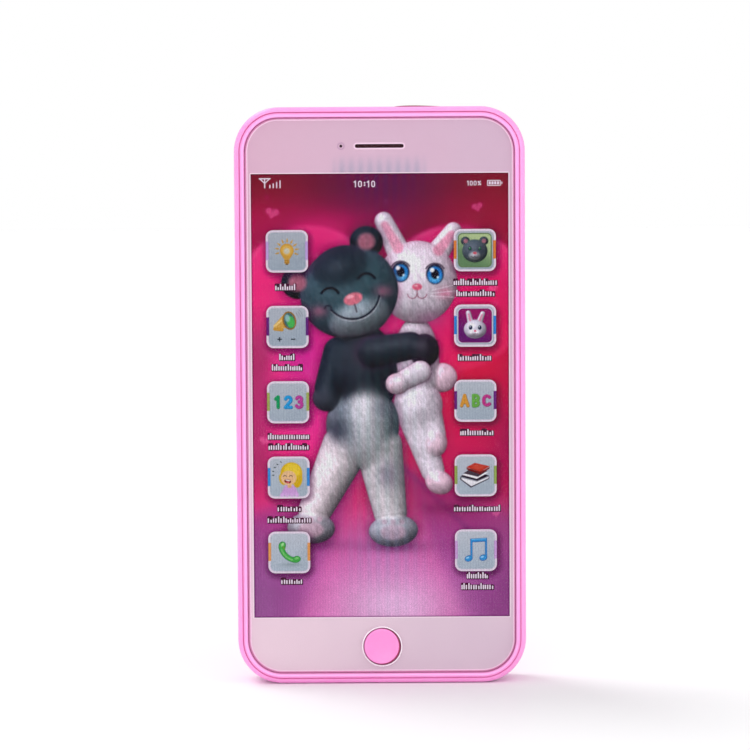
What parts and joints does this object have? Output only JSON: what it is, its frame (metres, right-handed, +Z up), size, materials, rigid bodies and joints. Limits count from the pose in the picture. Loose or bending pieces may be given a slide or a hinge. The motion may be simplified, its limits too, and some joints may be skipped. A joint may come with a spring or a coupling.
{
  "type": "toy cell phone",
  "caption": "Upright toy cell phone: moulded case, printed ribbed front sheet, sprung home button, sliding power switch, torch, loudspeaker and a screwed battery cover.",
  "frame": {"origin": "middle of the bottom edge that the phone stands on", "axes": "+Z up the phone's height, +Y from the screen towards the back, +X to the right when facing the screen"},
  "size_m": [0.073, 0.016, 0.146],
  "materials": {
    "pink_case": "satin moulded ABS",
    "pink_button": "satin moulded ABS",
    "ribbed_sheet": "clear PET sheet with fine upright ribs",
    "print": "printed film",
    "white_tape": "double-sided tape",
    "amber_film": "thin flexible film",
    "carbon_ink": "printed conductive ink",
    "board_green": "solder mask",
    "black_epoxy": "black resin",
    "resistor_tan": "lacquer",
    "capacitor_blue": "sleeve",
    "steel": "zinc plated",
    "black_plastic": "moulded",
    "tinned_metal": "nickel plated",
    "silicone": "milky silicone",
    "carbon_rubber": "matte",
    "magnet_metal": "nickel plated",
    "cone_paper": "pressed paper",
    "copper": "enamelled wire",
    "foam": "closed-cell foam",
    "torch_red": "clear red plastic",
    "led_clear": "clear resin",
    "cell_jacket": "printed sleeve",
    "wire_red": "PVC insulation",
    "wire_black": "PVC insulation",
    "wire_yellow": "PVC insulation",
    "wire_white": "PVC insulation"
  },
  "bodies": {
    "root": {"front_housing": "pink_case", "rear_cover": "pink_case", "lenticular_sheet": "ribbed_sheet", "printed_picture": "print", "panel_adhesive": "white_tape", "touch_film": "amber_film", "touch_pads": "carbon_ink", "main_board": "board_green", "music_chip": "black_epoxy", "resistors": "resistor_tan", "capacitors": "capacitor_blue", "transistors": "black_epoxy", "board_screws": "steel", "button_dome": "silicone", "button_board": "board_green", "switch_case": "steel", "switch_terminals": "tinned_metal", "speaker_basket": "black_plastic", "speaker_yoke": "steel", "speaker_magnet": "magnet_metal", "pole_plate": "steel", "speaker_gasket": "foam", "torch_lens": "torch_red", "torch_led": "led_clear", "torch_leads": "tinned_metal", "battery_cell_left": "cell_jacket", "battery_cell_middle": "cell_jacket", "battery_cell_right": "cell_jacket", "battery_springs": "tinned_metal", "contact_plates": "tinned_metal", "case_screws": "steel", "red_battery_wire": "wire_red", "black_battery_wire": "wire_black", "switch_wire": "wire_black", "speaker_wires": "wire_yellow", "torch_wires": "wire_white", "button_wires": "wire_white"},
    "home_button": {"home_button": "pink_button", "carbon_pill": "carbon_rubber"},
    "power_switch": {"switch_knob": "pink_button", "switch_lever": "black_plastic"},
    "battery_cover": {"battery_cover": "pink_case", "battery_pad": "foam"},
    "screw_washer": {"screw_washer": "black_plastic"},
    "cover_screw": {"cover_screw": "steel"},
    "speaker_cone": {"speaker_cone": "cone_paper", "voice_coil": "copper"}
  },
  "joints": [
    {"name": "home_button_press", "type": "slide", "parent": "root", "child": "home_button", "axis": [0, 1, 0], "range_m": [0, 0.001], "stiffness_N_per_m": 900, "springref_m": -0.0003, "deforming": ["button_dome"]},
    {"name": "power_switch_slide", "type": "slide", "parent": "root", "child": "power_switch", "axis": [0, 0, 1], "range_m": [0, 0.0025]},
    {"name": "battery_cover_open", "type": "hinge", "parent": "root", "child": "battery_cover", "pos_m": [0, 0.008, 0.019], "axis": [-1, 0, 0], "range_deg": [0, 100]},
    {"name": "cover_screw_backout", "type": "slide", "parent": "battery_cover", "child": "screw_washer", "axis": [0, 1, 0], "range_m": [0, 0.0024]},
    {"name": "cover_screw_turn", "type": "hinge", "parent": "screw_washer", "child": "cover_screw", "pos_m": [0, 0.008, 0.0786], "axis": [0, 1, 0], "range_deg": [0, 1080]},
    {"name": "speaker_cone_travel", "type": "slide", "parent": "root", "child": "speaker_cone", "axis": [0, 1, 0], "range_m": [-0.0003, 0.0003], "stiffness_N_per_m": 1500}
  ],
  "couplings": [
    {"joint": "cover_screw_turn", "follows": "cover_screw_backout", "rad_per_m": 7850}
  ]
}
